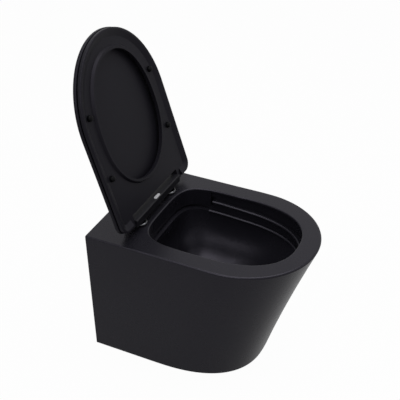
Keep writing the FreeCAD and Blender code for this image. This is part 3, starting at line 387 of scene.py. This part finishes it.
def foot_tree(material):
    """A cone and a rounded tip on each point, turned by the named lean."""
    tree = bpy.data.node_groups.new("rubber_feet", "GeometryNodeTree")
    tree.interface.new_socket("Points", in_out="INPUT", socket_type="NodeSocketGeometry")
    names = {}
    for word in ("Root radius", "Tip radius", "Height", "Lean"):
        made = tree.interface.new_socket(word, in_out="INPUT", socket_type="NodeSocketFloat")
        names[word] = made.identifier
    tree.interface.new_socket("Feet", in_out="OUTPUT", socket_type="NodeSocketGeometry")
    entry = tree.nodes.new("NodeGroupInput")
    exit_ = tree.nodes.new("NodeGroupOutput")
    cone = tree.nodes.new("GeometryNodeMeshCone")
    cone.inputs["Vertices"].default_value = FOOT_SIDES
    cone.inputs["Side Segments"].default_value = 3
    tip = tree.nodes.new("GeometryNodeMeshUVSphere")
    tip.inputs["Segments"].default_value = FOOT_SIDES
    tip.inputs["Rings"].default_value = 20
    flatten = tree.nodes.new("GeometryNodeTransform")
    flatten.inputs["Scale"].default_value = (1, 1, TIP_RISE)
    at_tip = tree.nodes.new("ShaderNodeCombineXYZ")
    foot = tree.nodes.new("GeometryNodeJoinGeometry")
    turn = tree.nodes.new("ShaderNodeCombineXYZ")
    sets = tree.nodes.new("GeometryNodeInstanceOnPoints")
    real = tree.nodes.new("GeometryNodeRealizeInstances")
    smooth = tree.nodes.new("GeometryNodeSetShadeSmooth")
    paint = tree.nodes.new("GeometryNodeSetMaterial")
    paint.inputs["Material"].default_value = material
    links = [
        (entry.outputs["Root radius"], cone.inputs["Radius Bottom"]),
        (entry.outputs["Tip radius"], cone.inputs["Radius Top"]),
        (entry.outputs["Height"], cone.inputs["Depth"]),
        (entry.outputs["Tip radius"], tip.inputs["Radius"]),
        (tip.outputs["Mesh"], flatten.inputs["Geometry"]),
        (entry.outputs["Height"], at_tip.inputs["Z"]),
        (at_tip.outputs[0], flatten.inputs["Translation"]),
        (cone.outputs["Mesh"], foot.inputs[0]),
        (flatten.outputs["Geometry"], foot.inputs[0]),
        (entry.outputs["Points"], sets.inputs["Points"]),
        (foot.outputs[0], sets.inputs["Instance"]),
        (entry.outputs["Lean"], turn.inputs["X"]),
        (turn.outputs[0], sets.inputs["Rotation"]),
        (sets.outputs[0], real.inputs[0]),
        (real.outputs[0], smooth.inputs["Geometry"]),
        (smooth.outputs[0], paint.inputs["Geometry"]),
        (paint.outputs[0], exit_.inputs["Feet"]),
    ]
    for start, end in links:
        tree.links.new(start, end)
    return tree, names


HINGE = Vector((0, -0.088, 0.105))     # a point on the hinge line
OPEN = math.radians(108)


def opened(x, reach, drop):
    """A place on the shut seat, given from the hinge line, after the seat has opened."""
    y, z = -reach, -drop
    return (x, HINGE.y + y * math.cos(OPEN) + z * math.sin(OPEN),
            HINGE.z - y * math.sin(OPEN) + z * math.cos(OPEN))


feet, foot_inputs = foot_tree(finishes["soft_rubber"])
# body: root radius, tip radius, height, drop under the hinge line, (x, reach) of pairs, CAD nodes
rows = {
    "seat": (0.0080, 0.0064, 0.0066, 0.0162, [(0.142, 0.134), (0.142, 0.288)],
             ["seat_bumper_rear", "seat_bumper_front"]),
    "lid": (0.0060, 0.0046, 0.0066, 0.0043, [(0.1198, 0.3401)], ["lid_bumper"]),
}
for body, (root, tip_radius, height, drop, places, stems) in rows.items():
    spots = bpy.data.meshes.new(body + "_feet_places")
    spots.from_pydata([opened(sign * x, reach, drop) for x, reach in places for sign in (-1, 1)],
                      [], [])
    values = dict(zip(foot_inputs.values(), (root, tip_radius, height, math.pi - OPEN)))
    row = settle(body + "_feet", spots, feet, values, body)
    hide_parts(*[f"{stem}_{side}" for stem in stems for side in ("left", "right")])
    print(row.name, len(row.data.polygons), "faces")

# %% [markdown]
# ## Button spring
# The small coil under the release button shortens as the button goes down. Here the same bead tree
# sweeps its wire along a helix that fills the spring's box, at one height only.

# %% Wind the spring
SPRING_WIRE, SPRING_TURNS, BUTTON_TRAVEL = 0.0007, 4, 0.0025
TURN_STEPS = 24
low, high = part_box("button_spring")
coil_radius = (high[0] - low[0] - SPRING_WIRE) / 2
coil_height = high[2] - low[2] - SPRING_WIRE
helix = []
for step in range(SPRING_TURNS * TURN_STEPS + 1):
    turn = 2 * math.pi * step / TURN_STEPS
    helix.append(((low[0] + high[0]) / 2 + coil_radius * math.cos(turn),
                  (low[1] + high[1]) / 2 + coil_radius * math.sin(turn),
                  low[2] + SPRING_WIRE / 2 + coil_height * step / (SPRING_TURNS * TURN_STEPS)))
wire, wire_radius = bead_tree(finishes["shaft_steel"])
coil = settle("button_coil", paths_mesh("coil_path", [helix]), wire, {wire_radius: SPRING_WIRE / 2},
              "hinge_bar")
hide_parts("button_spring")
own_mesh(coil)
print(coil.name, len(coil.data.polygons), "faces")

# %% [markdown]
# ## Floor, lamps and camera
# A pale floor lies where a bathroom floor would be, 415 mm below the rim. Seen directly it is
# nearly white, and the gloss of the pan meets it darker. Large soft lamps stand for the windows of
# a studio. The camera looks down over the near left corner of the pan.

# %% Floor
FLOOR_DROP = 0.415
FLOOR_HALF = 9.0
FLOOR_COLOUR = (0.5, 0.5, 0.5)
FLOOR_GLOW = 0.975
MIRRORED_FLOOR = 0.3


def background_rays(tree, mirrored=1.0):
    """1 for the camera's rays, and the mirrored share for those met in gloss, metal and glass."""
    path = tree.nodes.new("ShaderNodeLightPath")
    total = path.outputs["Is Camera Ray"]
    for kind in ("Is Glossy Ray", "Is Transmission Ray"):
        share = tree.nodes.new("ShaderNodeMath")
        share.operation = "MULTIPLY"
        share.inputs[1].default_value = mirrored
        tree.links.new(path.outputs[kind], share.inputs[0])
        either = tree.nodes.new("ShaderNodeMath")
        either.operation = "MAXIMUM"
        tree.links.new(total, either.inputs[0])
        tree.links.new(share.outputs[0], either.inputs[1])
        total = either.outputs[0]
    return total


def stage_finish(name, colour, glow):
    """A pale surface that shows itself as nearly white, and still takes a shadow."""
    material = bpy.data.materials.new(name)
    material.use_nodes = True
    tree = material.node_tree
    tree.nodes.clear()
    matt = tree.nodes.new("ShaderNodeBsdfDiffuse")
    matt.inputs["Color"].default_value = (*colour, 1)
    white = tree.nodes.new("ShaderNodeEmission")
    white.inputs["Strength"].default_value = 1.0
    amount = tree.nodes.new("ShaderNodeMath")
    amount.operation = "MULTIPLY"
    amount.inputs[1].default_value = glow
    mix = tree.nodes.new("ShaderNodeMixShader")
    output = tree.nodes.new("ShaderNodeOutputMaterial")
    tree.links.new(background_rays(tree, MIRRORED_FLOOR), amount.inputs[0])
    tree.links.new(amount.outputs[0], mix.inputs[0])
    tree.links.new(matt.outputs[0], mix.inputs[1])
    tree.links.new(white.outputs[0], mix.inputs[2])
    tree.links.new(mix.outputs[0], output.inputs["Surface"])
    return material


floor_mesh = bpy.data.meshes.new("floor")
floor_z = RIM_HEIGHT - FLOOR_DROP
floor_mesh.from_pydata([(-FLOOR_HALF, -FLOOR_HALF, floor_z), (FLOOR_HALF, -FLOOR_HALF, floor_z),
                        (FLOOR_HALF, FLOOR_HALF, floor_z), (-FLOOR_HALF, FLOOR_HALF, floor_z)],
                       [], [(0, 1, 2, 3)])
floor = bpy.data.objects.new("floor", floor_mesh)
bpy.context.scene.collection.objects.link(floor)
floor.data.materials.append(stage_finish("pale_floor", FLOOR_COLOUR, FLOOR_GLOW))
print("floor at", round(floor_z, 3))

# %% Lamps and world
TARGET = Vector((-0.0845, -0.260, 0.2005))


def lamp(name, towards, distance, power, width, height):
    """A soft rectangular lamp that faces the middle of the object."""
    data = bpy.data.lights.new(name, "AREA")
    data.shape = "RECTANGLE"
    data.size, data.size_y = width, height
    data.energy = power
    holder = bpy.data.objects.new(name, data)
    direction = Vector(towards).normalized()
    holder.location = TARGET + direction * distance
    holder.rotation_mode = "QUATERNION"
    holder.rotation_quaternion = direction.to_track_quat("Z", "Y")
    bpy.context.scene.collection.objects.link(holder)
    return holder


lamp("overhead", (0.15, -0.1, 1.0), distance=2.4, power=52.0, width=2.2, height=2.2)
lamp("side", (-1.0, 0.1, 0.9), distance=3.0, power=42.0, width=1.8, height=1.8)
lamp("front", (0.4, -1.0, 0.5), distance=3.2, power=5.0, width=1.8, height=1.4)

DIFFUSE_SKY = 0.4
world = bpy.data.worlds.new("studio")
bpy.context.scene.world = world
world.use_nodes = True
sky = world.node_tree
sky.nodes.clear()
seen = sky.nodes.new("ShaderNodeBackground")
seen.inputs["Color"].default_value = (1, 1, 1, 1)
seen.inputs["Strength"].default_value = 1.0
felt = sky.nodes.new("ShaderNodeBackground")
felt.inputs["Strength"].default_value = DIFFUSE_SKY
mix = sky.nodes.new("ShaderNodeMixShader")
output = sky.nodes.new("ShaderNodeOutputWorld")
sky.links.new(background_rays(sky), mix.inputs[0])
sky.links.new(felt.outputs[0], mix.inputs[1])
sky.links.new(seen.outputs[0], mix.inputs[2])
sky.links.new(mix.outputs[0], output.inputs["Surface"])
bpy.context.scene.view_settings.view_transform = "Standard"

# %% Camera
AZIMUTH, ELEVATION = math.radians(-64.98), math.radians(33.99)
DISTANCE, LENS = 1.9447, 76.185
camera_data = bpy.data.cameras.new("camera")
camera_data.lens = LENS
camera = bpy.data.objects.new("camera", camera_data)
back = Vector((math.sin(AZIMUTH) * math.cos(ELEVATION), -math.cos(AZIMUTH) * math.cos(ELEVATION),
               math.sin(ELEVATION)))
camera.location = TARGET + back * DISTANCE
camera.rotation_mode = "QUATERNION"
camera.rotation_quaternion = back.to_track_quat("Z", "Y")
bpy.context.scene.collection.objects.link(camera)
bpy.context.scene.camera = camera
print("camera at", [round(c, 3) for c in camera.location])
